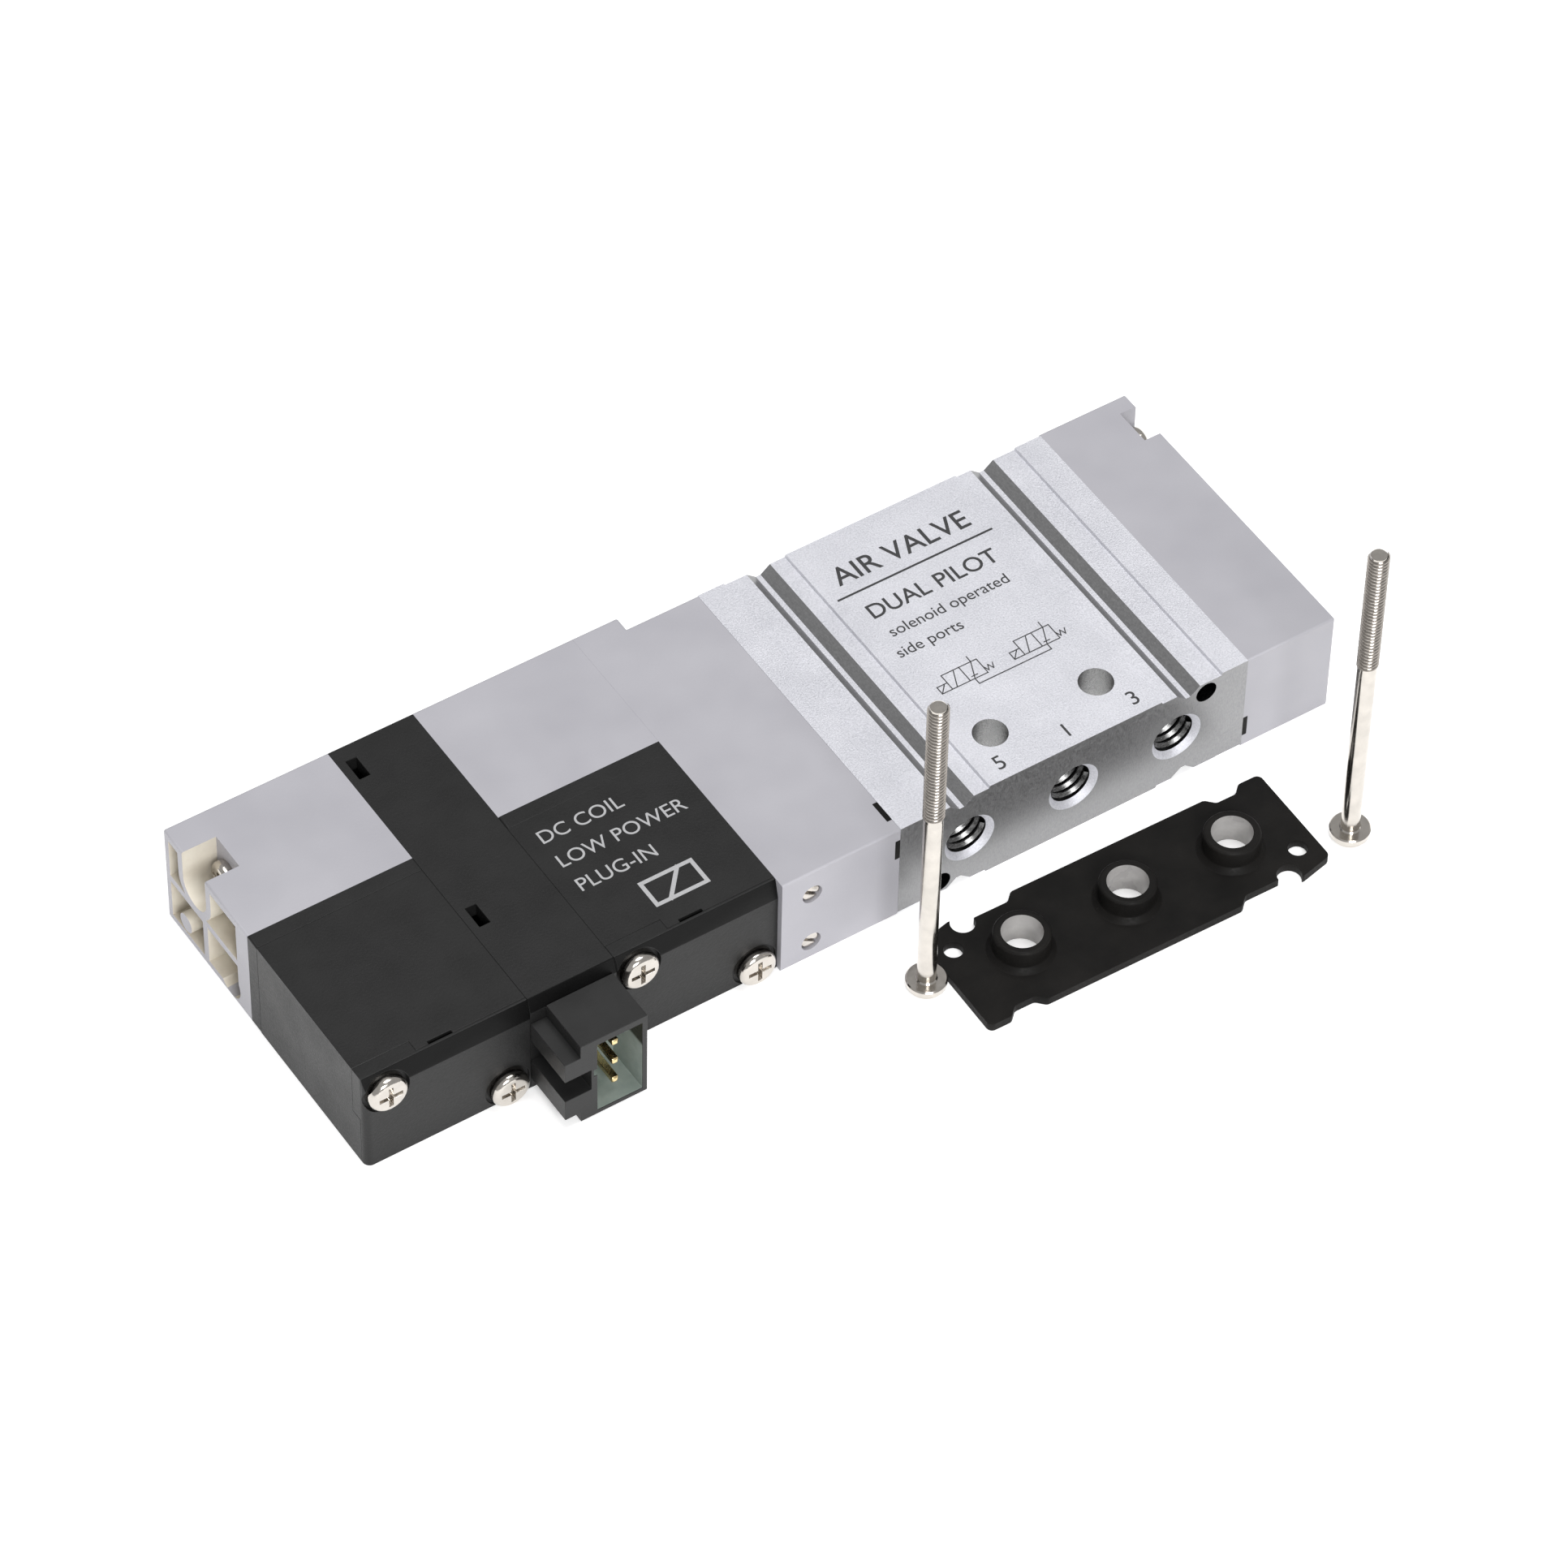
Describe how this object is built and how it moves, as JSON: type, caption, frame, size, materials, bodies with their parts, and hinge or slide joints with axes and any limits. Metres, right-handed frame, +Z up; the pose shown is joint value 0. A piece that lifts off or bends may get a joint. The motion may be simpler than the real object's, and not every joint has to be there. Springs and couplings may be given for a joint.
{
  "type": "solenoid directional valve",
  "caption": "Flat base-mounted pneumatic valve: aluminium body with ports along one edge, grey end caps, black solenoid pilots with a plug socket, and its loose port gasket and long screws.",
  "frame": {"origin": "middle of the aluminium body's underside, valve lying on its wide side", "axes": "+X along the valve from the solenoids to the end cap, +Y from the port face to the back, +Z up"},
  "size_m": [0.1016, 0.0509, 0.037],
  "materials": {
    "anodised_aluminium": "fine bead blasted, clear anodised",
    "bright_aluminium": "turned",
    "grey_plastic": "satin moulded",
    "black_plastic": "fine moulded grain",
    "socket_plastic": "satin moulded",
    "white_plastic": "natural nylon",
    "black_rubber": "satin nitrile rubber",
    "nickel_steel": "bright nickel plate",
    "spring_steel": "drawn wire",
    "zinc_steel": "zinc plate",
    "copper_wire": "enamelled wire",
    "gold_brass": "gold flash",
    "board_green": "solder mask"
  },
  "bodies": {
    "valve": {"valve_body": "anodised_aluminium", "adapter": "grey_plastic", "end_cap": "grey_plastic", "left_pilot_body": "grey_plastic", "right_pilot_body": "grey_plastic", "adapter_gasket": "black_rubber", "end_cap_gasket": "black_rubber", "spring_spacer": "bright_aluminium", "adapter_screws": "nickel_steel", "end_cap_screws": "nickel_steel", "pilot_tie_screws": "nickel_steel", "coil_screws": "nickel_steel", "connector_base": "black_plastic", "connector_cover": "black_plastic", "plug_socket": "socket_plastic", "circuit_board": "board_green", "plug_pins": "gold_brass", "left_return_spring": "spring_steel", "left_guide_plate": "black_plastic", "left_coil_housing": "black_plastic", "left_coil_cover": "black_plastic", "left_yoke": "zinc_steel", "left_bobbin": "white_plastic", "left_winding": "copper_wire", "left_core": "zinc_steel", "left_plunger_spring": "spring_steel", "left_valve_seat": "gold_brass", "right_return_spring": "spring_steel", "right_guide_plate": "black_plastic", "right_coil_housing": "black_plastic", "right_coil_cover": "black_plastic", "right_yoke": "zinc_steel", "right_bobbin": "white_plastic", "right_winding": "copper_wire", "right_core": "zinc_steel", "right_plunger_spring": "spring_steel", "right_valve_seat": "gold_brass", "upper_override_spring": "spring_steel", "lower_override_spring": "spring_steel"},
    "left_spool_set": {"left_spool": "bright_aluminium", "left_spool_seals": "black_rubber", "left_piston": "white_plastic", "left_piston_seal": "black_rubber"},
    "right_spool_set": {"right_spool": "bright_aluminium", "right_spool_seals": "black_rubber", "right_piston": "white_plastic", "right_piston_seal": "black_rubber"},
    "left_plunger_set": {"left_plunger": "zinc_steel", "left_plunger_seal": "black_rubber"},
    "right_plunger_set": {"right_plunger": "zinc_steel", "right_plunger_seal": "black_rubber"},
    "upper_override": {"upper_override_button": "nickel_steel", "upper_override_seal": "black_rubber"},
    "lower_override": {"lower_override_button": "nickel_steel", "lower_override_seal": "black_rubber"},
    "kit_gasket": {"mounting_gasket": "black_rubber"},
    "kit_screw_left": {"left_mounting_screw": "nickel_steel"},
    "kit_screw_right": {"right_mounting_screw": "nickel_steel"}
  },
  "joints": [
    {"name": "left_spool_slide", "type": "slide", "parent": "valve", "child": "left_spool_set", "axis": [1, 0, 0], "range_m": [0, 0.002], "stiffness_N_per_m": 600, "springref_m": -0.002, "deforming": ["left_return_spring"]},
    {"name": "right_spool_slide", "type": "slide", "parent": "valve", "child": "right_spool_set", "axis": [-1, 0, 0], "range_m": [0, 0.002], "stiffness_N_per_m": 600, "springref_m": -0.002, "deforming": ["right_return_spring"]},
    {"name": "left_plunger_pull", "type": "slide", "parent": "valve", "child": "left_plunger_set", "axis": [0, -1, 0], "range_m": [0, 0.0004], "stiffness_N_per_m": 900, "springref_m": -0.001, "deforming": ["left_plunger_spring"]},
    {"name": "right_plunger_pull", "type": "slide", "parent": "valve", "child": "right_plunger_set", "axis": [0, -1, 0], "range_m": [0, 0.0004], "stiffness_N_per_m": 900, "springref_m": -0.001, "deforming": ["right_plunger_spring"]},
    {"name": "upper_override_press", "type": "slide", "parent": "valve", "child": "upper_override", "axis": [0, 1, 0], "range_m": [0, 0.0008], "stiffness_N_per_m": 900, "springref_m": -0.0008, "deforming": ["upper_override_spring"]},
    {"name": "lower_override_press", "type": "slide", "parent": "valve", "child": "lower_override", "axis": [0, 1, 0], "range_m": [0, 0.0008], "stiffness_N_per_m": 900, "springref_m": -0.0008, "deforming": ["lower_override_spring"]},
    {"name": "kit_gasket_lift", "type": "slide", "parent": "valve", "child": "kit_gasket", "axis": [0, 0, 1], "range_m": [0, 0.015]},
    {"name": "kit_screw_left_lift", "type": "slide", "parent": "valve", "child": "kit_screw_left", "axis": [0, 0, 1], "range_m": [0, 0.015]},
    {"name": "kit_screw_right_lift", "type": "slide", "parent": "valve", "child": "kit_screw_right", "axis": [0, 0, 1], "range_m": [0, 0.015]}
  ]
}
